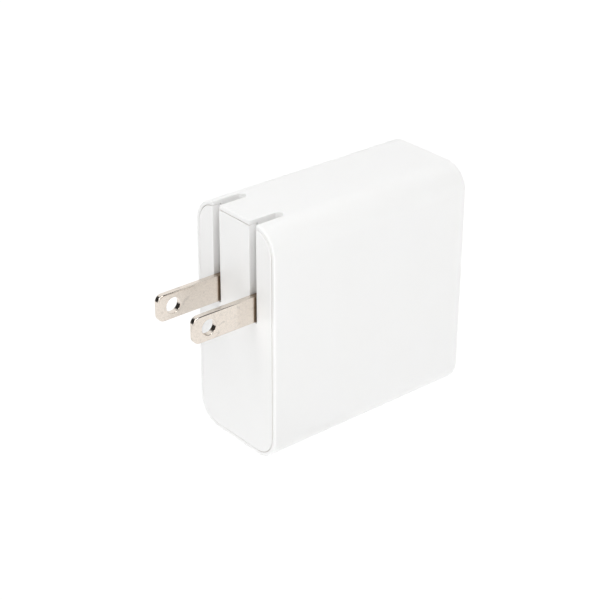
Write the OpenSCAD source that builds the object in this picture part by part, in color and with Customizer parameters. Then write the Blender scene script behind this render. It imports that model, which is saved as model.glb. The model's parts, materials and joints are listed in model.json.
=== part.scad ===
// Laptop power adapter that plugs straight into the wall, with two folding blades and three USB
// sockets. Millimetres. X runs from the prong face to the port face, Y across the thickness and
// Z up from the narrow side that the adapter stands on. The origin is the centre of that side.
// Depths are measured from the prong face; from_face() sets them in place.

/* [Housing] */
// Length of the body, from the prong face to the port face
body_l = 55.6; // [50:0.1:80]
// Thickness of the body, across its two large faces
body_w = 27; // [24.3:0.1:40]
// Height of the body as it stands
body_h = 56.5; // [50.8:0.1:80]
// Radius of the four long corners
corner_r = 6.2; // [4.5:0.1:8]
// Rounding of the edges round both end faces
edge_r = 0.2; // [0.1:0.05:0.6]
// Wall of the housing
wall_t = 2.2; // [1.8:0.1:2.5]
// End wall that the sockets look out of
port_wall_t = 2; // [1.5:0.1:2.4]
// Lip of the housing round the end cap
lip_t = 0.9; // [0.8:0.05:1.3]
// Step from the cap's face back to the housing's lip
lip_step = 0.13; // [0.05:0.01:0.3]

/* [End cap] */
// Thickness of the cap's front plate
cap_t = 2.4; // [1.6:0.1:2.6]
// Parting gap between the cap and the housing's lip
cap_gap = 0.05; // [0.03:0.01:0.2]
// Width of the shadow groove between the cap's face and the lip
groove_w = 0.15; // [0.1:0.01:0.3]
// Depth of that groove below the lip
groove_t = 0.15; // [0.05:0.01:0.4]
// Rounding of the front plate's edge
cap_edge_r = 0.15; // [0.05:0.05:0.3]
// Depth of the relief round the front plate's back edge
relief_t = 0.35; // [0.1:0.05:0.6]
// Width of that relief
relief_w = 0.45; // [0.1:0.05:0.8]
// Wall of the skirt that reaches into the housing
skirt_t = 1.2; // [0.8:0.1:1.3]
// Reach of the skirt behind the front plate
skirt_l = 4; // [2:0.5:6]
// Gap between the skirt and the housing
skirt_gap = 0.1; // [0.05:0.01:0.2]

/* [Blades] */
// Distance between the blades' centres
blade_pitch = 12.7; // [12.6:0.1:12.8]
// Width of a blade
blade_w = 6.35; // [6.1:0.05:6.6]
// Thickness of a blade
blade_t = 1.45; // [1.4:0.01:1.65]
// Reach of the blades in front of the prong face
blade_out = 16.3; // [15.9:0.1:18.2]
// Diameter of the hole in a blade
blade_hole_d = 3.7; // [3.5:0.02:4]
// Rounding of the hole's rims
hole_edge_r = 0.15; // [0.05:0.05:0.3]
// Distance of that hole from the prong face
blade_hole_x = 12.3; // [11.7:0.1:12.8]
// Radius of the corners at a blade's tip
blade_tip_r = 1.6; // [1:0.1:2.8]
// Rounding of a blade's edges
blade_edge_r = 0.3; // [0.1:0.05:0.4]
// Depth of the pivot behind the prong face
pivot_x = 3.4; // [3.3:0.1:4]
// Width of the slots that the blades fold into
slot_w = 2.4; // [2.2:0.1:2.8]
// Reach of the slots along the top of the body
slot_l = 8; // [7.6:0.1:9]
// Gap between a blade and the foot of its slot
slot_gap = 0.1; // [0.05:0.05:0.3]
// Gap between the folded tips and the top of the body
fold_gap = 0.4; // [0.2:0.1:1]

/* [Folding mechanism] */
// Diameter of the rotor that carries both blades
rotor_d = 4.4; // [4:0.1:4.6]
// Running clearance round the rotor
rotor_gap = 0.05; // [0.02:0.01:0.1]
// Gap between the rotor's ends and the skirt
rotor_end_gap = 0.6; // [0.4:0.1:1]
// Width of the square key where the rotor passes through a blade
key_w = 2.6; // [2.2:0.1:2.8]
// Distance of the detent flats from the rotor's axis
cam_flat = 1.9; // [1.7:0.05:2]
// Walls of the blade wells and of the bearing
well_t = 1; // [0.8:0.1:1.2]
// Thickness of the leaf springs
leaf_t = 0.3; // [0.2:0.05:0.4]
// Gap between a blade's tail and its contact spring
contact_gap = 0.1; // [0.05:0.05:0.2]
// Width of a contact spring
contact_w = 1.8; // [1.2:0.1:2.1]
// Length of a contact spring's solder tail
contact_tail_l = 3; // [2.6:0.1:3.4]
// Width of the detent spring
detent_w = 4; // [3:0.1:5]
// Room behind the detent spring for it to bend
detent_relief = 0.5; // [0.3:0.1:0.8]
// Diameter of the retainer's screws
screw_d = 1.6; // [1.4:0.1:2]
// Diameter of a screw's head
screw_head_d = 3; // [2.6:0.1:3.4]
// Height of a screw's head
screw_head_h = 1; // [0.8:0.1:1.2]
// Length of a screw's shank
screw_l = 5; // [4:0.1:5.4]
// Diameter of the cap's screw bosses
boss_d = 4.2; // [3.6:0.1:4.6]
// Thickness of the retainer's screw ears
ear_t = 2; // [1.4:0.1:2.4]

/* [Boards] */
// Thickness of both circuit boards
board_t = 1.2; // [1:0.1:1.6]
// Room between the main board's solder side and the housing
solder_gap = 1.3; // [1.2:0.1:1.8]
// Thickness of the insulating sheet on the housing's wall
sheet_t = 0.3; // [0.1:0.05:0.35]
// Gap between a board's edge and the housing
board_gap = 0.2; // [0.1:0.1:0.6]
// Thickness of the guide ribs beside the main board
rib_t = 1; // [0.8:0.1:1.2]
// Bite of the guide ribs over the main board's edges
rib_bite = 0.6; // [0.4:0.1:0.8]
// Gap between neighbouring components
part_gap = 0.8; // [0.4:0.1:1]
// Diameter of the insulated lead wires
wire_d = 1.3; // [1:0.1:1.5]

/* [Sockets] */
// Depth of the socket shells in front of the port board
shell_l = 9.3; // [8.8:0.1:10]
// Recess of the shells' mouths below the port face
shell_recess = 0.4; // [0.2:0.1:0.8]
// Gap between a shell and the housing
port_gap = 0.15; // [0.1:0.05:0.3]
// Height of the lowest socket's centre
usb_a_z = 16; // [12:0.5:20]
// Distance from the USB-A socket up to the first USB-C socket
first_c_step = 13; // [10:0.5:15]
// Distance between the two USB-C sockets
c_pitch = 11; // [8:0.5:12]
// Reach of the port board above and below the outer sockets' centres
port_board_reach = 7; // [5:0.5:8]

/* [Components] */
// Diameter of a bulk capacitor
bulk_d = 9; // [6:0.1:9.4]
// Room between the bulk capacitors' tops and the housing
bulk_gap = 4.1; // [1.5:0.1:12]
// Outer diameter of the choke's core
choke_d = 9; // [7:0.1:10.5]
// Height of the choke's core
choke_h = 5; // [3:0.5:8]
// Thickness of the choke's windings
wind_t = 0.8; // [0.5:0.1:0.8]
// Length of the mains capacitor
mains_l = 12; // [8:0.5:12.5]
// Thickness of the mains capacitor
mains_w = 6; // [4:0.5:7]
// Height of the mains capacitor
mains_h = 11; // [7:0.5:14]
// Side of the transformer's core, up the board
core_side = 17.5; // [13:0.1:18]
// Thickness of the core's plates and outer legs
core_t = 2.5; // [2:0.1:3.2]
// Build of the transformer's winding
winding_t = 1.8; // [1:0.1:1.9]
// Thickness of the pad between the transformer and the heat spreader
pad_t = 2.3; // [0.5:0.1:4.3]
// Thickness of the heat spreader
spreader_t = 0.8; // [0.4:0.1:1]
// Length of the heat spreader
spreader_l = 30; // [20:1:33]
// Height of the heat spreader
spreader_h = 38; // [20:1:40]
// Diameter of an output capacitor
out_d = 6.3; // [4:0.1:6.8]
// Height of an output capacitor
out_h = 11; // [5:0.5:16]
// Side of an output inductor
coil_w = 6; // [4:0.5:6.5]

/* [Hidden] */
$fn = 64;
over = 1;                                  // how far a cut runs past the surface it opens

// Housing
cavity_r = corner_r - wall_t;
cavity_half = body_w / 2 - wall_t;
cavity_top = body_h - wall_t;
cavity_end = body_l - port_wall_t;
lip_r = corner_r - lip_t;

// Blades and their slots. The folded tips end just under the top of the body.
blade_z = body_h - fold_gap - blade_out - pivot_x;
slot_foot = blade_z - blade_w / 2 - slot_gap;
blade_side = [-1, 1];

// Folding mechanism. The cap holds the front half of the bearing, the retainer the back half.
bearing_r = rotor_d / 2 + rotor_gap;
bearing_half = cavity_half - skirt_gap - skirt_t - rotor_end_gap;
rotor_half = bearing_half - rotor_gap;
zone = blade_w / 2 + slot_gap + well_t;
tail_x = pivot_x + blade_w / 2 + contact_gap;
detent_x = pivot_x + bearing_r;
back_x = slot_l + well_t;
ear_gap = 0.4;
contact_drop = 2;
screw_step = zone + boss_d / 2 + ear_gap;
contact_foot = blade_z - zone - contact_drop;

// Boards. The main board stands along the far wall, the port board across its end.
board_y = cavity_half - solder_gap - board_t;
board_x = back_x + screw_head_h + part_gap;
board_end = cavity_end - board_gap;
corner_reach = cavity_r - solder_gap;
board_inset = cavity_r - sqrt(cavity_r * cavity_r - corner_reach * corner_reach) + board_gap;
board_low = wall_t + board_inset;
board_high = cavity_top - board_inset;
port_board_x = body_l - shell_recess - shell_l - board_t;
c_z = [for (i = [0, 1]) usb_a_z + first_c_step + i * c_pitch];
port_board_low = usb_a_z - port_board_reach;
port_board_high = c_z[1] + port_board_reach;
pin_w = 0.6;
pin_l = 1.6;
pin_step = 4;

// Sockets: a USB-C receptacle and a USB-A receptacle, outside and inside
metal_t = 0.3;
c_w = 8.94;
c_h = 3.16;
c_tongue_w = 6.69;
c_tongue_t = 0.7;
c_tongue_recess = 0.9;
c_pad_count = 12;
c_pad_pitch = 0.5;
c_pad_w = 0.28;
gold_t = 0.06;
gold_l = 2.6;
gold_end = 0.7;
a_w = 13.1;
a_h = 5.72;
a_r = 0.5;
a_tongue_w = 11.1;
a_tongue_t = 1.84;
a_tongue_off = 0.7;
a_tongue_recess = 1;
a_pad_w = 1;
a_pad_t = 0.15;
a_pad_end = 0.5;
a_pad_places = [-3.5, -1, 1, 3.5];
socket_base_l = 1.6;
shell_x = port_board_x + board_t;
mouth_x = shell_x + shell_l;
a_tongue_low = usb_a_z + a_h / 2 - metal_t - a_tongue_off - a_tongue_t;

// Room on the main board for components, counted from its lower corner: u along it, v up it.
// The choke and transformer stand over the row of bulk capacitors, the input side over the leads.
free_u = port_board_x - pin_l - part_gap - board_x;
row_1 = part_gap;
row_2 = row_1 + bulk_d + part_gap;
row_3 = row_2 + core_side + part_gap;
row_4 = row_3 + out_d + part_gap;
lead_gap = 0.6;
lead_edge = 0.1;
lead_bend = 1;
lead_pitch = wire_d + lead_gap;
lead_x = board_x + wire_d / 2 + lead_edge;
lead_z = contact_foot + leaf_t / 2;
bridge_size = [6, 5, 1.6];
bridge_v = lead_z + wire_d / 2 + part_gap - board_low;
mains_v = bridge_v + bridge_size[1] + part_gap;
fuse_v = mains_v + mains_w + part_gap;
fuse_d = 3.4;
fuse_l = 10;

choke_r = choke_d / 2 + wind_t;
core_u = part_gap + 2 * choke_r + part_gap;
core_l = free_u - core_u;
core_h = board_y + cavity_half - spreader_t - pad_t;
window_half = core_l / 2 - core_t;
window_h = core_h - 2 * core_t;
window_gap = 0.7;
spool_t = 0.8;
tape_t = 0.3;
winding_r = window_half - window_gap;
post_r = winding_r - winding_t - spool_t;

opto_size = [2.6, 4.6, 2];
opto_u = part_gap + mains_l + part_gap;
disc_d = 6;
disc_t = 2.6;
out_u = opto_u + opto_size[0] + part_gap;
coil_h = 4;
case_r = 0.8;
bulk_h = board_y + cavity_half - bulk_gap;
bulk_count = floor(free_u / (bulk_d + part_gap));
out_count = floor((free_u - out_u) / (out_d + part_gap));
crimp_h = 1.8;
crimp_r = 0.4;
chip_t = 0.85;
switch_size = [8, 6, chip_t];
rectifier_size = [5, 6, chip_t];
controller_size = [5, 5, chip_t];

// ---------------------------------------------------------------- shared shapes

// Puts depths behind the prong face in place
module from_face()
    translate([-body_l / 2, 0, 0]) children();

// Extrudes a profile drawn in Y and Z along X, from one depth to another
module along_x(from, to)
    translate([from, 0, 0])
        rotate([90, 0, 90])
            linear_extrude(to - from) children();

// Rounded rectangle, centred on X and standing on Y = 0
module rounded_rect(w, h, r) {
    translate([-w / 2 + r, 0]) square([w - 2 * r, h]);
    translate([-w / 2, r]) square([w, h - 2 * r]);
    for (sx = [-1, 1], y = [r, h - r])
        translate([sx * (w / 2 - r), y]) circle(r);
}

// Body profile drawn in from the outside by the same amount all round
module inset_profile(inset, r)
    translate([0, inset]) rounded_rect(body_w - 2 * inset, body_h - 2 * inset, r);

// Half section of a bar of radius r and length l whose end edges are rounded by e
module edge_profile(r, l, e) {
    square([r - e, l]);
    translate([0, e]) square([r, l - 2 * e]);
    for (y = [e, l - e])
        translate([r - e, y]) circle(e);
}

// One side of a rounded bar, facing +X
module bar_side(out, run, r, l, e)
    translate([out, run / 2, 0])
        rotate([90, 0, 0])
            linear_extrude(run) edge_profile(r, l, e);

// Bar along Z with long corners of radius r and end edges rounded by e
module rounded_bar(w, h, l, r, e) {
    translate([-w / 2 + r, -h / 2 + r, 0]) cube([w - 2 * r, h - 2 * r, l]);
    for (a = [0, 180])
        rotate([0, 0, a]) {
            bar_side(w / 2 - r, h - 2 * r, r, l, e);
            rotate([0, 0, 90]) bar_side(h / 2 - r, w - 2 * r, r, l, e);
            translate([w / 2 - r, h / 2 - r, 0])
                rotate_extrude(angle = 90) edge_profile(r, l, e);
            translate([-w / 2 + r, h / 2 - r, 0])
                rotate([0, 0, 90]) rotate_extrude(angle = 90) edge_profile(r, l, e);
        }
}

// The same bar laid along X between two depths, in the middle of the body
module bar_along_x(from, to, inset, r, e)
    translate([from, 0, body_h / 2])
        rotate([90, 0, 90])
            rounded_bar(body_w - 2 * inset, body_h - 2 * inset, to - from, r, e);

// Room for one folded blade: open to the front and the top, with a round inner end
module slot_cut(y, low) {
    translate([-over, y - slot_w / 2, low])
        cube([slot_l - slot_w / 2 + over, slot_w, body_h + over - low]);
    translate([slot_l - slot_w / 2, y, low]) cylinder(d = slot_w, h = body_h + over - low);
}

// Places something in the middle plane of each blade
module at_blades()
    for (s = blade_side)
        translate([0, s * blade_pitch / 2, 0]) children();

// Cylinder along Y on the rotor's axis
module on_axis(r, half)
    translate([pivot_x, half, blade_z])
        rotate([90, 0, 0]) cylinder(r = r, h = 2 * half);

// Block in the middle of the thickness, between two depths and two heights
module block(from, to, half, low, high)
    translate([from, -half, low]) cube([to - from, 2 * half, high - low]);

// Places both screws: above and below the rotor, pointing along X
module at_screws(depth)
    for (s = [-1, 1])
        translate([depth, 0, blade_z + s * screw_step])
            rotate([0, 90, 0]) children();

// Places a component on the main board: u runs along it, v up it, and Z stands off it
module on_board(u, v)
    translate([board_x + u, board_y, board_low + v])
        rotate([90, 0, 0]) children();

// Places a chip on the main board's solder side
module under_board(u, v)
    translate([board_x + u, board_y + board_t, board_low + v])
        mirror([0, 1, 0])
            rotate([90, 0, 0]) children();

// ---------------------------------------------------------------- housing and cap

module socket_profile_c(w, h) {
    square([w - h, h], center = true);
    for (s = [-1, 1])
        translate([s * (w - h) / 2, 0]) circle(h / 2);
}

module socket_profile_a(w, h, r)
    translate([0, -h / 2]) rounded_rect(w, h, r);

module port_openings() {
    for (z = c_z)
        along_x(cavity_end - over, body_l + over)
            translate([0, z]) socket_profile_c(c_w + 2 * port_gap, c_h + 2 * port_gap);
    along_x(cavity_end - over, body_l + over)
        translate([0, usb_a_z])
            socket_profile_a(a_w + 2 * port_gap, a_h + 2 * port_gap, a_r + port_gap);
}

// Ribs that hold the main board's lower and upper edges, in front of it and behind it
module board_ribs() {
    reach = board_inset + rib_bite;
    intersection() {
        for (y = [board_y - rib_t, board_y + board_t], z = [wall_t, cavity_top - reach])
            translate([board_x, y, z])
                cube([cavity_end - board_x, y < board_y ? rib_t : solder_gap, reach]);
        along_x(0, cavity_end) inset_profile(wall_t, cavity_r);
    }
}

module sleeve_housing() color([0.95, 0.95, 0.94]) from_face() {
    difference() {
        bar_along_x(lip_step, body_l, 0, corner_r, edge_r);
        along_x(-over, cap_t) inset_profile(lip_t, lip_r);
        along_x(0, cavity_end) inset_profile(wall_t, cavity_r);
        at_blades() slot_cut(0, cavity_top - over);
        port_openings();
    }
    board_ribs();
}

module end_cap() color([0.93, 0.93, 0.92]) from_face()
    difference() {
        union() {
            front = lip_t + groove_w;
            bar_along_x(0, cap_t - relief_t, front, corner_r - front, cap_edge_r);
            fit = lip_t + cap_gap;
            along_x(lip_step + groove_t, cap_t - relief_t) inset_profile(fit, corner_r - fit);
            back = fit + relief_w;
            along_x(cap_edge_r, cap_t) inset_profile(back, corner_r - back);
            skirt = wall_t + skirt_gap;
            difference() {
                along_x(cap_t, cap_t + skirt_l) inset_profile(skirt, corner_r - skirt);
                along_x(cap_t, cap_t + skirt_l + over)
                    inset_profile(skirt + skirt_t, corner_r - skirt - skirt_t);
            }
            block(cap_t, pivot_x, bearing_half, blade_z - zone, blade_z + zone);
            intersection() {
                at_blades()
                    block(cap_t, back_x, slot_w / 2 + well_t, blade_z + zone, cavity_top);
                along_x(cap_t, back_x) inset_profile(skirt, corner_r - skirt);
            }
            at_screws(cap_t) cylinder(d = boss_d, h = back_x - ear_t - cap_t);
        }
        at_blades() slot_cut(0, slot_foot);
        on_axis(bearing_r, bearing_half);
        at_screws(back_x - screw_l) cylinder(d = screw_d, h = screw_l);
    }

// ---------------------------------------------------------------- folding plug

// Places something on the axis of a blade's hole, with Z across the blade
module at_blade_hole()
    translate([-blade_hole_x, blade_t / 2, blade_z]) rotate([90, 0, 0]) children();

// Blade in its own middle plane, pointing to -X, with its round tail on the rotor's axis
module blade() {
    difference() {
        union() {
            intersection() {
                translate([pivot_x, blade_t / 2, blade_z])
                    rotate([90, 0, 0])
                        rounded_bar(2 * (blade_out + pivot_x), blade_w, blade_t,
                                    blade_tip_r, blade_edge_r);
                block(-blade_out - over, pivot_x, blade_t, blade_z - blade_w, blade_z + blade_w);
            }
            translate([pivot_x, blade_t / 2, blade_z])
                rotate([90, 0, 0])
                    rotate_extrude() edge_profile(blade_w / 2, blade_t, blade_edge_r);
        }
        at_blade_hole()
            translate([0, 0, -over])
                cylinder(r = blade_hole_d / 2 + hole_edge_r, h = blade_t + 2 * over);
        translate([pivot_x - key_w / 2, -blade_t, blade_z - key_w / 2])
            cube([key_w, 2 * blade_t, key_w]);
    }
    rim_w = 2 * hole_edge_r;
    at_blade_hole()
        rotate_extrude()
            translate([blade_hole_d / 2 + rim_w, 0])
                mirror([1, 0]) edge_profile(rim_w, blade_t, hole_edge_r);
}

module left_blade() color([0.8, 0.77, 0.72]) from_face()
    translate([0, blade_pitch / 2, 0]) blade();

module right_blade() color([0.8, 0.77, 0.72]) from_face()
    translate([0, -blade_pitch / 2, 0]) blade();

// Barrel with two detent flats, moulded through the square holes of both blades
module blade_rotor() color([0.9, 0.9, 0.88]) from_face() {
    difference() {
        on_axis(rotor_d / 2, rotor_half);
        at_blades() block(0, back_x, blade_t / 2, blade_z - zone, blade_z + zone);
        block(pivot_x + cam_flat, back_x, detent_w / 2 + slot_gap, blade_z - zone, blade_z + zone);
        block(0, back_x, detent_w / 2 + slot_gap, blade_z + cam_flat, blade_z + zone);
    }
    at_blades()
        block(pivot_x - key_w / 2, pivot_x + key_w / 2, blade_t / 2,
              blade_z - key_w / 2, blade_z + key_w / 2);
}

module rotor_retainer() color([0.85, 0.85, 0.83]) from_face()
    difference() {
        union() {
            block(pivot_x, back_x, bearing_half, blade_z - zone, blade_z + zone);
            block(back_x - ear_t, back_x, boss_d / 2,
                  blade_z - screw_step - boss_d / 2, blade_z + screw_step + boss_d / 2);
        }
        on_axis(bearing_r, bearing_half + over);
        at_blades()
            block(0, tail_x + leaf_t, slot_w / 2, slot_foot, blade_z + zone + over);
        at_blades()
            block(tail_x, tail_x + leaf_t, contact_w / 2, blade_z - zone - over, blade_z);
        block(detent_x, detent_x + leaf_t, detent_w / 2, blade_z - zone + well_t / 2,
              blade_z + zone + over);
        block(0, detent_x + leaf_t + detent_relief, detent_w / 2,
              blade_z - bearing_r, blade_z + bearing_r);
        at_screws(0) cylinder(d = screw_d, h = back_x + over);
    }

module retainer_screws() color([0.6, 0.62, 0.64]) from_face() {
    at_screws(back_x - screw_l) cylinder(d = screw_d, h = screw_l);
    at_screws(back_x) cylinder(d = screw_head_d, h = screw_head_h);
}

// Steel leaf behind the rotor's flats, drawn as it is pressed back by the barrel
module detent_spring() color([0.7, 0.72, 0.74]) from_face()
    block(detent_x, detent_x + leaf_t, detent_w / 2, blade_z - zone + well_t / 2,
          blade_z + zone);

// Bronze leaf behind a blade's tail, with a foot bent back for its wire
module contact_spring() {
    block(tail_x, tail_x + leaf_t, contact_w / 2, contact_foot, blade_z);
    block(tail_x, tail_x + contact_tail_l, contact_w / 2, contact_foot, contact_foot + leaf_t);
}

module left_contact_spring() color([0.78, 0.55, 0.3]) from_face()
    translate([0, blade_pitch / 2, 0]) contact_spring();

module right_contact_spring() color([0.78, 0.55, 0.3]) from_face()
    translate([0, -blade_pitch / 2, 0]) contact_spring();

// Insulated wire from a contact's foot, along X and then across to the main board
module lead_wire(y, turn_x) {
    start = tail_x + contact_tail_l;
    translate([start, y, lead_z])
        rotate([0, 90, 0]) cylinder(d = wire_d, h = turn_x - lead_bend - start);
    translate([turn_x - lead_bend, y + lead_bend, lead_z])
        rotate([0, 0, -90])
            rotate_extrude(angle = 90) translate([lead_bend, 0]) circle(d = wire_d);
    translate([turn_x, board_y, lead_z])
        rotate([90, 0, 0]) cylinder(d = wire_d, h = board_y - y - lead_bend);
}

module left_lead_wire() color([0.1, 0.1, 0.1]) from_face()
    lead_wire(blade_pitch / 2, lead_x);

module right_lead_wire() color([0.85, 0.85, 0.8]) from_face()
    lead_wire(-blade_pitch / 2, lead_x + lead_pitch);

// ---------------------------------------------------------------- boards

// Sheet on the flat of the housing's wall, behind the main board
module insulating_sheet() color([0.15, 0.15, 0.16]) from_face()
    translate([board_x, cavity_half - sheet_t, corner_r])
        cube([board_end - board_x, sheet_t, body_h - 2 * corner_r]);

module main_board() color([0.1, 0.35, 0.2]) from_face()
    translate([board_x, board_y, board_low])
        cube([board_end - board_x, board_t, board_high - board_low]);

module port_board() color([0.1, 0.35, 0.2]) from_face()
    translate([port_board_x, -cavity_half + spreader_t + board_gap, port_board_low])
        cube([board_t, board_y + cavity_half - spreader_t - board_gap,
              port_board_high - port_board_low]);

// Angled pins that carry the port board on the main board
module board_link_pins() color([0.8, 0.65, 0.3]) from_face()
    for (z = [port_board_low + pin_step / 2 : pin_step : port_board_high - pin_w])
        translate([port_board_x, board_y, z]) {
            translate([-pin_w, -pin_l, 0]) cube([pin_w, pin_l, pin_w]);
            translate([-pin_l, -pin_w, 0]) cube([pin_l, pin_w, pin_w]);
        }

// ---------------------------------------------------------------- primary side

module mains_capacitor() color([0.85, 0.7, 0.15]) from_face()
    on_board(part_gap + mains_l / 2, mains_v)
        linear_extrude(mains_h) rounded_rect(mains_l, mains_w, case_r);

// Round fuse lying along the board
module fuse() color([0.25, 0.5, 0.3]) from_face()
    on_board(part_gap, fuse_v + fuse_d / 2)
        translate([0, 0, fuse_d / 2]) rotate([0, 90, 0]) cylinder(d = fuse_d, h = fuse_l);

module at_choke()
    on_board(part_gap + choke_r, row_2 + choke_r)
        translate([0, 0, wind_t]) children();

module choke_core() color([0.2, 0.22, 0.22]) from_face()
    at_choke() rotate_extrude() translate([choke_d / 4, 0]) square([choke_d / 4, choke_h]);

// Two half windings, each wrapped closely round its side of the core
module choke_windings() color([0.75, 0.4, 0.2]) from_face() {
    spread = 130;
    at_choke()
        for (a = [-spread / 2, 180 - spread / 2])
            rotate([0, 0, a])
                rotate_extrude(angle = spread)
                    difference() {
                        translate([choke_d / 4 - wind_t, -wind_t])
                            square([choke_d / 4 + 2 * wind_t, choke_h + 2 * wind_t]);
                        translate([choke_d / 4, 0]) square([choke_d / 4, choke_h]);
                    }
}

module bridge_rectifier() color([0.12, 0.12, 0.13]) from_face()
    on_board(part_gap, bridge_v) cube(bridge_size);

// Can with a crimp near its foot, standing on the board
module can(d, h)
    rotate_extrude()
        difference() {
            square([d / 2, h]);
            translate([d / 2, crimp_h]) circle(crimp_r);
        }

module bulk_capacitors() color([0.15, 0.2, 0.35]) from_face()
    for (i = [0 : bulk_count - 1])
        on_board(part_gap + bulk_d / 2 + i * (bulk_d + part_gap), row_1 + bulk_d / 2)
            can(bulk_d, bulk_h);

module power_switch() color([0.1, 0.1, 0.11]) from_face()
    under_board(part_gap, row_2) cube(switch_size);

// ---------------------------------------------------------------- transformer

module at_transformer()
    on_board(core_u + core_l / 2, row_2 + core_side / 2) children();

module transformer_core() color([0.22, 0.22, 0.23]) from_face()
    at_transformer() {
        difference() {
            translate([-core_l / 2, -core_side / 2, 0]) cube([core_l, core_side, core_h]);
            translate([-window_half, -core_side, core_t])
                cube([2 * window_half, 2 * core_side, window_h]);
        }
        translate([0, 0, core_t]) cylinder(r = post_r, h = window_h);
    }

module transformer_bobbin() color([0.1, 0.1, 0.1]) from_face()
    at_transformer()
        translate([0, 0, core_t])
            difference() {
                union() {
                    cylinder(r = post_r + spool_t, h = window_h);
                    cylinder(r = window_half, h = spool_t);
                    translate([0, 0, window_h - spool_t]) cylinder(r = window_half, h = spool_t);
                }
                cylinder(r = post_r, h = window_h);
            }

module winding_ring(inner, outer)
    at_transformer()
        translate([0, 0, core_t + spool_t])
            rotate_extrude()
                translate([inner, 0]) square([outer - inner, window_h - 2 * spool_t]);

module transformer_winding() color([0.72, 0.38, 0.2]) from_face()
    winding_ring(post_r + spool_t, winding_r - tape_t);

module transformer_tape() color([0.95, 0.8, 0.2]) from_face()
    winding_ring(winding_r - tape_t, winding_r);

// Disc that stands across the gap between the mains side and the output side
module safety_capacitor() color([0.15, 0.4, 0.75]) from_face()
    on_board(opto_u, row_3 + opto_size[1] + part_gap + disc_d / 2)
        translate([0, 0, disc_d / 2])
            rotate([0, 90, 0]) cylinder(d = disc_d, h = disc_t);

module optocoupler() color([0.9, 0.9, 0.88]) from_face()
    on_board(opto_u, row_3) cube(opto_size);

// ---------------------------------------------------------------- output side

module rectifier_switch() color([0.1, 0.1, 0.11]) from_face()
    under_board(core_u, row_2 + switch_size[1] + part_gap) cube(rectifier_size);

module charge_controller() color([0.1, 0.1, 0.11]) from_face()
    under_board(core_u, row_3) cube(controller_size);

module output_capacitors() color([0.75, 0.76, 0.78]) from_face()
    for (i = [0 : out_count - 1])
        on_board(out_u + out_d / 2 + i * (out_d + part_gap), row_3 + out_d / 2)
            can(out_d, out_h);

module output_inductors() color([0.35, 0.35, 0.36]) from_face()
    for (i = [0 : out_count - 1])
        on_board(out_u + coil_w / 2 + i * (coil_w + part_gap), row_4)
            linear_extrude(coil_h) rounded_rect(coil_w, coil_w, case_r);

module thermal_pad() color([0.55, 0.62, 0.75]) from_face()
    at_transformer()
        translate([-core_l / 2, -core_side / 2, core_h]) cube([core_l, core_side, pad_t]);

module heat_spreader() color([0.75, 0.76, 0.77]) from_face()
    translate([board_x, -cavity_half, body_h / 2 - spreader_h / 2])
        cube([spreader_l, spreader_t, spreader_h]);

// ---------------------------------------------------------------- sockets

module usb_c_shells() color([0.75, 0.76, 0.77]) from_face()
    for (z = c_z)
        along_x(shell_x, mouth_x)
            translate([0, z]) difference() {
                socket_profile_c(c_w, c_h);
                socket_profile_c(c_w - 2 * metal_t, c_h - 2 * metal_t);
            }

module usb_c_tongues() color([0.12, 0.12, 0.13]) from_face()
    for (z = c_z) {
        along_x(shell_x, shell_x + socket_base_l)
            translate([0, z]) socket_profile_c(c_w - 2 * metal_t, c_h - 2 * metal_t);
        along_x(shell_x + socket_base_l, mouth_x - c_tongue_recess)
            translate([0, z]) square([c_tongue_w, c_tongue_t], center = true);
    }

// Gold contacts on both faces of each tongue
module usb_c_contacts() color([0.85, 0.68, 0.3]) from_face() {
    end = mouth_x - c_tongue_recess - gold_end;
    for (z = c_z, s = [-1, 1], i = [0 : c_pad_count - 1])
        translate([end - gold_l, (i - (c_pad_count - 1) / 2) * c_pad_pitch - c_pad_w / 2,
                   z + s * (c_tongue_t + gold_t) / 2 - gold_t / 2])
            cube([gold_l, c_pad_w, gold_t]);
}

module usb_a_shell() color([0.75, 0.76, 0.77]) from_face()
    along_x(shell_x, mouth_x)
        translate([0, usb_a_z]) difference() {
            socket_profile_a(a_w, a_h, a_r);
            socket_profile_a(a_w - 2 * metal_t, a_h - 2 * metal_t, a_r - metal_t);
        }

module usb_a_tongue() color([0.9, 0.9, 0.88]) from_face() {
    along_x(shell_x, shell_x + socket_base_l)
        translate([0, usb_a_z])
            socket_profile_a(a_w - 2 * metal_t, a_h - 2 * metal_t, a_r - metal_t);
    along_x(shell_x + socket_base_l, mouth_x - a_tongue_recess)
        translate([-a_tongue_w / 2, a_tongue_low]) square([a_tongue_w, a_tongue_t]);
}

module usb_a_contacts() color([0.85, 0.68, 0.3]) from_face() {
    end = mouth_x - a_tongue_recess - a_pad_end;
    for (y = a_pad_places)
        translate([shell_x + socket_base_l, y - a_pad_w / 2, a_tongue_low - a_pad_t])
            cube([end - shell_x - socket_base_l, a_pad_w, a_pad_t]);
}

// ---------------------------------------------------------------- nodes

sleeve_housing();
end_cap();
left_blade();
right_blade();
blade_rotor();
rotor_retainer();
retainer_screws();
detent_spring();
left_contact_spring();
right_contact_spring();
left_lead_wire();
right_lead_wire();
insulating_sheet();
main_board();
fuse();
choke_core();
choke_windings();
mains_capacitor();
bridge_rectifier();
bulk_capacitors();
power_switch();
transformer_core();
transformer_bobbin();
transformer_winding();
transformer_tape();
safety_capacitor();
optocoupler();
rectifier_switch();
charge_controller();
output_capacitors();
output_inductors();
thermal_pad();
heat_spreader();
port_board();
board_link_pins();
usb_c_shells();
usb_c_tongues();
usb_c_contacts();
usb_a_shell();
usb_a_tongue();
usb_a_contacts();
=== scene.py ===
"""Looks of a laptop power adapter with a folding plug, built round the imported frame."""
import json
from math import pi

import bpy
from mathutils import Matrix, Vector


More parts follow.
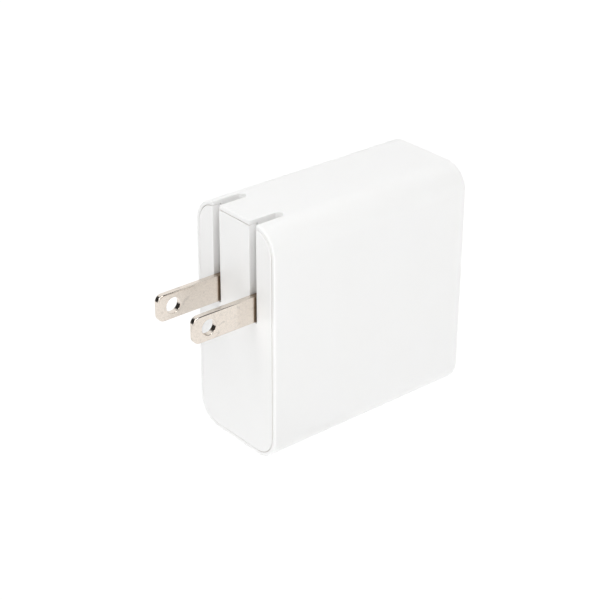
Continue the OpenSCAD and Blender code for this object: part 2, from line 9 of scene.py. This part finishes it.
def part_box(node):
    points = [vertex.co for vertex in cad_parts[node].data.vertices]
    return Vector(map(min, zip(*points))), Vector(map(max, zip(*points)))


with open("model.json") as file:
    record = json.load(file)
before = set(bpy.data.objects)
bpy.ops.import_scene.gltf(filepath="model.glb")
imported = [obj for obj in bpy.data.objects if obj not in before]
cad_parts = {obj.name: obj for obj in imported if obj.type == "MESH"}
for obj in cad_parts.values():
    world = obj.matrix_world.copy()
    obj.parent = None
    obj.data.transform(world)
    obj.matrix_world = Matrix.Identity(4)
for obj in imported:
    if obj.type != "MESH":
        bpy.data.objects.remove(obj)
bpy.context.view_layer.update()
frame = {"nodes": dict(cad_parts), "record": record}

NODES = frame["nodes"]
MM = 0.001
ONES = Vector((1, 1, 1))

FACE_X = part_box("end_cap")[0][0]    # the prong face; the body runs from it along +X
BODY_LOW, BODY_HIGH = (Vector(corner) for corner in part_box("sleeve_housing"))
BODY_MIDDLE = (BODY_LOW + BODY_HIGH) / 2
BODY_HALF = (BODY_HIGH - BODY_LOW) / 2
CORNER_R = 6.2 * MM     # corner of the body's section
LIP_T = 0.9 * MM        # the housing's lip round the cap
SEAM_W = 0.15 * MM      # the groove between them


# ---------------------------------------------------------------- node helpers

NOISE_RANGE = (0.3, 0.7)    # noise seldom leaves this range


class Nodes:
    """A node tree, with short calls for the nodes that the looks use.

    place is its texture coordinate of the kind named in coordinates."""

    def __init__(self, tree, coordinates):
        self.tree = tree
        self.place = self.add("ShaderNodeTexCoord").outputs[coordinates]

    def add(self, kind, **settings):
        """New node with these settings."""
        node = self.tree.nodes.new(kind)
        for key, value in settings.items():
            setattr(node, key, value)
        return node

    def join(self, value, socket):
        """Feeds a socket from another socket, or sets it to a constant."""
        if isinstance(value, bpy.types.NodeSocket):
            self.tree.links.new(value, socket)
        else:
            socket.default_value = value

    def calculate(self, family, kind, values):
        """Maths node of one family, fed with sockets and constants in order."""
        node = self.add(family, operation=kind)
        for value, socket in zip(values, node.inputs):
            self.join(value, socket)
        return node.outputs

    def maths(self, kind, *values):
        """Maths over numbers."""
        return self.calculate("ShaderNodeMath", kind, values)["Value"]

    def vector(self, kind, *values):
        """Maths over vectors and colours that gives one of them."""
        return self.calculate("ShaderNodeVectorMath", kind, values)["Vector"]

    def measure(self, kind, *values):
        """Maths over vectors that gives a number."""
        return self.calculate("ShaderNodeVectorMath", kind, values)["Value"]

    def span(self, source, low, high, to_low, to_high, **settings):
        """Maps a value from one range to another, clamped."""
        node = self.add("ShaderNodeMapRange", **settings)
        for key, value in (("Value", source), ("From Min", low), ("From Max", high),
                           ("To Min", to_low), ("To Max", to_high)):
            self.join(value, node.inputs[key])
        return node.outputs["Result"]

    def ramp(self, source, *stops):
        """Colours along a value: stops are (position, colour)."""
        node = self.add("ShaderNodeValToRGB")
        elements = node.color_ramp.elements
        while len(elements) < len(stops):
            elements.new(0.5)
        for element, (position, colour) in zip(elements, stops):
            element.position = position
            element.color = (*colour, 1)
        self.join(source, node.inputs["Fac"])
        return node.outputs["Color"]


class Finish(Nodes):
    """A new material's nodes."""

    def __init__(self, name):
        self.material = bpy.data.materials.new(name)
        self.material.use_nodes = True
        super().__init__(self.material.node_tree, "Object")
        self.shader = self.tree.nodes["Principled BSDF"]

    def noise(self, size_mm, detail, roughness=0.5, stretch=(1, 1, 1), distortion=0.0):
        """Noise with features of about size_mm, stretched along the axes."""
        scale = self.add("ShaderNodeMapping")
        self.join(self.place, scale.inputs["Vector"])
        self.join([1 / (size_mm * MM * s) for s in stretch], scale.inputs["Scale"])
        node = self.add("ShaderNodeTexNoise")
        for key, value in (("Vector", scale.outputs["Vector"]), ("Scale", 1.0), ("Detail", detail),
                           ("Roughness", roughness), ("Distortion", distortion)):
            self.join(value, node.inputs[key])
        return node.outputs["Fac"]

    def bands(self, direction, scale):
        """Soft bands across one axis, pi / (10 * scale) metres apart."""
        node = self.add("ShaderNodeTexWave", wave_type="BANDS", bands_direction=direction)
        self.join(self.place, node.inputs["Vector"])
        self.join(scale, node.inputs["Scale"])
        return node.outputs["Fac"]

    def wander(self, noise, low, high):
        """A number that goes from low to high with the noise."""
        return self.span(noise, *NOISE_RANGE, low, high)

    def tint(self, noise, dark, light):
        """A colour that goes from dark to light with the noise."""
        return self.ramp(noise, *zip(NOISE_RANGE, (dark, light)))

    def along_x(self):
        """Place along X, in metres."""
        node = self.add("ShaderNodeSeparateXYZ")
        self.join(self.place, node.inputs["Vector"])
        return node.outputs["X"]

    def bump(self, height, height_mm, under=None):
        """Relief height_mm high, on top of the relief under it if there is one."""
        node = self.add("ShaderNodeBump")
        self.join(height, node.inputs["Height"])
        self.join(height_mm * MM, node.inputs["Distance"])
        if under is not None:
            self.join(under, node.inputs["Normal"])
        return node.outputs["Normal"]

    def shade(self, **values):
        """Feeds or sets the shader's own sockets; spaces are written as underscores."""
        for key, value in values.items():
            self.join(value, self.shader.inputs[key.replace("_", " ")])
        return self


def times(colour, factor):
    """A colour made lighter or darker."""
    return [channel * factor for channel in colour]


# ---------------------------------------------------------------- finishes

WHITE = (0.93, 0.923, 0.914)
# painted shade: this colour darkens the white down in the groove round the cap
PAINTED_GROOVE_SHADE = (0.74, 0.7, 0.66)    # tints the white down in the groove
PAINTED_SHADE_X = FACE_X + 0.28 * MM
PAINTED_SHADE_REACH = 0.1 * MM       # either way from there along X

# painted shade and reflection: the blade darkens towards its root, standing in for the dark slot
# it sits in and mirrors
ROOT_SHADE_FROM = FACE_X - 0.8 * MM
ROOT_SHADE_TO = FACE_X + 0.2 * MM
PAINTED_ROOT_SHADE = ((0, (1, 1, 1)), (0.2, (0.85, 0.83, 0.81)), (0.5, (0.6, 0.53, 0.46)),
           (1, (0.5, 0.43, 0.36)))

WEAVE_SCALE = 420           # a band every 0.75 mm
WIRE_PITCH_MM = 0.35


def painted_groove_shade(t):
    """1 on the floor of the groove between the cap and the housing's lip, where the painted shade
    goes, and 0 elsewhere.
    """
    from_middle = t.vector("ABSOLUTE", t.vector("SUBTRACT", t.place, BODY_MIDDLE))
    past_centre = t.vector("SUBTRACT", from_middle, BODY_HALF - ONES * CORNER_R)
    in_section = t.vector("MULTIPLY", (0, 1, 1), t.vector("MAXIMUM", (0, 0, 0), past_centre))
    ring = t.maths("COMPARE", t.measure("LENGTH", in_section),
                   CORNER_R - LIP_T - SEAM_W / 2, SEAM_W / 2)
    deep = t.maths("COMPARE", t.along_x(), PAINTED_SHADE_X, PAINTED_SHADE_REACH)
    return t.maths("MULTIPLY", ring, deep)


def moulding(name, colour, roughness=0.34, glow_mm=0, groove_shade=None):
    """Injection-moulded plastic with a fine eroded grain and slow changes in its gloss.

    Light sinks about glow_mm into it. Painted shade of the colour given as groove_shade darkens
    the groove round the cap."""
    t = Finish(name)
    paint = t.tint(t.noise(size_mm=9, detail=3), times(colour, 0.992), colour)
    if groove_shade:
        # painted shade: the groove between the cap and the housing's lip is darkened in the base
        # colour
        paint = t.vector("MULTIPLY", paint, t.ramp(painted_groove_shade(t), (0, ONES), (1, groove_shade)))
    t.shade(
        Base_Color=paint,
        Roughness=t.wander(t.noise(size_mm=3.5, detail=4), roughness - 0.04, roughness + 0.05),
        Normal=t.bump(t.noise(size_mm=0.16, detail=2), height_mm=0.004),
        IOR=1.49,
    )
    if glow_mm:
        t.shade(Subsurface_Weight=1.0, Subsurface_Radius=ONES, Subsurface_Scale=glow_mm * MM)
    return t


def plated(name, colour, roughness=0.16):
    """Bright nickel plate: a fine mottle, faint smudges and shallow waves from the rolled strip
    under it. Painted shade and a painted dark reflection darken it where it goes into the slot."""
    t = Finish(name)
    mottle = t.noise(size_mm=0.36, detail=5, roughness=0.8)
    smudge = t.noise(size_mm=2.4, detail=5, roughness=0.6, distortion=0.6)
    waves = t.noise(size_mm=1.6, detail=3, stretch=(3, 1, 1))
    plate = t.ramp(mottle, (0.34, times(colour, 0.88)), (0.5, colour), (0.68, times(colour, 1.05)))
    smudged = t.vector("MULTIPLY", plate, t.ramp(smudge, (0.32, times(ONES, 0.82)), (0.42, ONES)))
    # painted shade: how far into the slot, for the darkening at the blade's root
    depth = t.span(t.along_x(), ROOT_SHADE_FROM, ROOT_SHADE_TO, to_low=0, to_high=1)
    return t.shade(
        Base_Color=t.vector("MULTIPLY", smudged, t.ramp(depth, *PAINTED_ROOT_SHADE)),
        Roughness=t.wander(t.noise(size_mm=0.9, detail=4), roughness - 0.05, roughness + 0.06),
        Normal=t.bump(mottle, height_mm=0.002, under=t.bump(waves, height_mm=0.006)),
        Metallic=1.0,
    )


def metal(name, colour, roughness, brush=(1, 1, 12)):
    """Plain sheet or stamped metal with faint drawn lines."""
    t = Finish(name)
    lines = t.noise(size_mm=0.25, detail=3, stretch=brush)
    return t.shade(
        Base_Color=t.tint(lines, times(colour, 0.9), colour),
        Roughness=t.wander(lines, roughness - 0.07, roughness + 0.07),
        Normal=t.bump(lines, height_mm=0.003),
        Metallic=1.0,
    )


def resin(name, colour, roughness, grain_mm=0.3, grain_h_mm=0.01):
    """Cast or pressed body with a grained skin."""
    t = Finish(name)
    grain = t.noise(grain_mm, detail=4)
    return t.shade(
        Base_Color=t.tint(grain, times(colour, 0.85), times(colour, 1.1)),
        Roughness=t.wander(t.noise(size_mm=2, detail=3), roughness - 0.06, roughness + 0.06),
        Normal=t.bump(grain, grain_h_mm),
    )


def laminate(name, colour):
    """Circuit board: solder mask over a woven glass cloth, whose weave just shows."""
    t = Finish(name)
    weave = t.maths("MULTIPLY", t.bands("X", WEAVE_SCALE), t.bands("Z", WEAVE_SCALE))
    return t.shade(
        Base_Color=t.tint(t.noise(size_mm=4, detail=3), times(colour, 0.8), colour),
        Roughness=t.span(weave, 0, 1, to_low=0.3, to_high=0.38),
        Normal=t.bump(weave, height_mm=0.006),
    )


def winding(name, colour):
    """Turns of enamelled wire, side by side, with painted shade in the creases between the turns.
    """
    t = Finish(name)
    turns = t.bands("Y", pi / (10 * WIRE_PITCH_MM * MM))
    return t.shade(
        # painted shade: the base colour darkens in the creases between the turns
        Base_Color=t.ramp(turns, (0.1, times(colour, 0.45)), (0.6, colour)),
        Roughness=t.wander(t.noise(size_mm=1, detail=3), 0.22, 0.32),
        Normal=t.bump(turns, height_mm=0.08),
        Metallic=1.0, Coat_Weight=0.6, Coat_Roughness=0.15,
    )


# By material slot. After the colour come the roughness, and then a resin's grain size and
# height in mm, or how far a metal's lines are stretched along X, Y and Z.
FINISHES = {
    "white_shell": moulding("white_shell", WHITE, glow_mm=0.3, groove_shade=PAINTED_GROOVE_SHADE),
    "plated_blade": plated("plated_blade", (0.79, 0.72, 0.647)),
    "bearing_plastic": moulding("bearing_plastic", (0.78, 0.78, 0.76), 0.42),
    "spring_steel": metal("spring_steel", (0.62, 0.63, 0.64), 0.28),
    "spring_bronze": metal("spring_bronze", (0.78, 0.50, 0.28), 0.3),
    "black_wire": resin("black_wire", (0.012, 0.012, 0.012), 0.4, 0.5, 0.005),
    "white_wire": resin("white_wire", (0.75, 0.75, 0.72), 0.4, 0.5, 0.005),
    "black_film": resin("black_film", (0.015, 0.015, 0.017), 0.5, 0.8, 0.004),
    "board_laminate": laminate("board_laminate", (0.012, 0.13, 0.05)),
    "fuse_body": resin("fuse_body", (0.05, 0.19, 0.07), 0.35),
    "ferrite": resin("ferrite", (0.035, 0.035, 0.038), 0.55, 0.25, 0.02),
    "copper_wire": winding("copper_wire", (0.72, 0.33, 0.14)),
    "yellow_film": resin("yellow_film", (0.80, 0.52, 0.05), 0.28, 0.6, 0.004),
    "black_resin": resin("black_resin", (0.018, 0.018, 0.02), 0.5, 0.15, 0.01),
    "capacitor_sleeve": resin("capacitor_sleeve", (0.02, 0.035, 0.11), 0.25, 1.2, 0.006),
    "blue_resin": resin("blue_resin", (0.02, 0.13, 0.42), 0.22, 1.0, 0.02),
    "can_aluminium": metal("can_aluminium", (0.82, 0.83, 0.84), 0.25, (1, 12, 1)),
    "inductor_grey": resin("inductor_grey", (0.09, 0.09, 0.095), 0.6, 0.2, 0.02),
    "thermal_silicone": resin("thermal_silicone", (0.25, 0.32, 0.44), 0.65, 0.4, 0.02),
    "spreader_aluminium": metal("spreader_aluminium", (0.80, 0.81, 0.82), 0.34, (12, 1, 1)),
    "socket_steel": metal("socket_steel", (0.66, 0.65, 0.63), 0.26, (12, 1, 1)),
    "socket_black": moulding("socket_black", (0.015, 0.015, 0.016), 0.4),
    "socket_white": moulding("socket_white", (0.75, 0.75, 0.72), 0.4),
    "gold_contact": metal("gold_contact", (0.95, 0.68, 0.30), 0.18, (10, 1, 1)),
}

for part in frame["record"]["subparts"]:
    slots = NODES[part["node"]].data.materials
    slots.clear()
    slots.append(FINISHES[part["material_slot"]].material)


# ---------------------------------------------------------------- studio

AIM = Vector((0, 0, 0.03))  # what the lamps and the flags face

SKY = 0.35
SKY_GLOW = 1.0
GLOWS = (       # towards, and the cosines of the angles where the glow starts and is full
    (Vector((0.567, 0.67, 0.479)), 0.6, 0.8),   # backdrop behind the object
    (Vector((0, 0, -1)), -0.1, 0.0),            # horizon
)
FLOOR_SIZE = 40
FLOOR_GLOW = 0.975
FLOOR_GREY = (0.04, 0.04, 0.04, 1)
FLAG_GREY = (0.01, 0.01, 0.01, 1)
PURE_WHITE = (1, 1, 1, 1)

SOFTBOXES = {   # place, width, height, brightness of what it lights
    "left_softbox": (Vector((-0.5, -0.05, 0.65)), 0.5, 0.5, 0.287),
    "front_softbox": (Vector((0, -0.5, 0.75)), 0.45, 0.45, 0.28),
    "camera_softbox": (Vector((-0.5, -0.6, 0.35)), 0.5, 0.5, 0.167),
    "left_spot": (Vector((-0.5, -0.01, 0.6)), 0.12, 0.12, 0.064),
}
FLAGS = {       # place, width and height of the black cards that the blades mirror
    "back_flag": (Vector((-0.12, 0.096, 0.065)), 0.08, 0.13),
    "front_flag": (Vector((0.4, -0.32, 0.51)), 0.45, 0.5),
}


def put(obj, place, z_axis):
    """Puts an object into the scene at place, with its Z axis along z_axis."""
    bpy.context.scene.collection.objects.link(obj)
    turn = z_axis.to_track_quat("Z", "Y").to_matrix().to_4x4()
    obj.matrix_world = Matrix.Translation(place) @ turn


def card(name, place, facing, width, height, finish):
    """Rectangle at place whose face looks along facing."""
    mesh = bpy.data.meshes.new(name)
    w, h = width / 2, height / 2
    mesh.from_pydata([(-w, -h, 0), (w, -h, 0), (w, h, 0), (-w, h, 0)], [], [(0, 1, 2, 3)])
    mesh.materials.append(finish.material)
    obj = bpy.data.objects.new(name, mesh)
    put(obj, place, facing)
    return obj


def lamp(name, place, width, height, brightness):
    """Softbox that faces AIM; brightness 1 makes a white card there just white."""
    light = bpy.data.lights.new(name, "AREA")
    light.shape = "RECTANGLE"
    light.size = width
    light.size_y = height
    light.energy = brightness * (pi * (place - AIM).length) ** 2
    obj = bpy.data.objects.new(name, light)
    put(obj, place, place - AIM)
    obj.visible_camera = False


world = bpy.data.worlds.new("studio")
bpy.context.scene.world = world
world.use_nodes = True
sky = Nodes(world.node_tree, "Generated")
glows = [sky.span(sky.measure("DOT_PRODUCT", sky.place, towards), start, full, SKY, SKY_GLOW,
                  interpolation_type="SMOOTHSTEP") for towards, start, full in GLOWS]
backdrop = sky.tree.nodes["Background"].inputs
sky.join(PURE_WHITE, backdrop["Color"])
sky.join(sky.maths("MAXIMUM", *glows), backdrop["Strength"])

floor_finish = Finish("floor").shade(Base_Color=FLOOR_GREY, Roughness=0.8,
                                     Emission_Color=PURE_WHITE, Emission_Strength=FLOOR_GLOW)
card("floor", Vector((0, 0, 0)), Vector((0, 0, 1)), FLOOR_SIZE, FLOOR_SIZE, floor_finish)

flag_finish = Finish("flag").shade(Base_Color=FLAG_GREY, Roughness=0.9)
for name, (place, width, height) in FLAGS.items():
    card(name, place, AIM - place, width, height, flag_finish).visible_camera = False
for name, (place, width, height, brightness) in SOFTBOXES.items():
    lamp(name, place, width, height, brightness)


# ---------------------------------------------------------------- camera

CAMERA_PLACE = Vector((-220.683, -253.281, 203.518)) * MM
CAMERA_RIGHT = Vector((0.76940182, -0.6387524, 0.00402647))
CAMERA_UP = Vector((0.29501376, 0.36093225, 0.8847004))
LENS_MM = 99.609
SENSOR_MM = 36
CLIP_NEAR = 0.01
CLIP_FAR = 20

camera = bpy.data.objects.new("camera", bpy.data.cameras.new("camera"))
bpy.context.scene.collection.objects.link(camera)
camera.data.lens = LENS_MM
camera.data.sensor_width = SENSOR_MM
camera.data.clip_start = CLIP_NEAR
camera.data.clip_end = CLIP_FAR
axes = Matrix((CAMERA_RIGHT, CAMERA_UP, CAMERA_RIGHT.cross(CAMERA_UP))).transposed()
camera.matrix_world = Matrix.Translation(CAMERA_PLACE) @ axes.to_4x4()
bpy.context.scene.camera = camera
bpy.context.scene.view_settings.view_transform = "Standard"
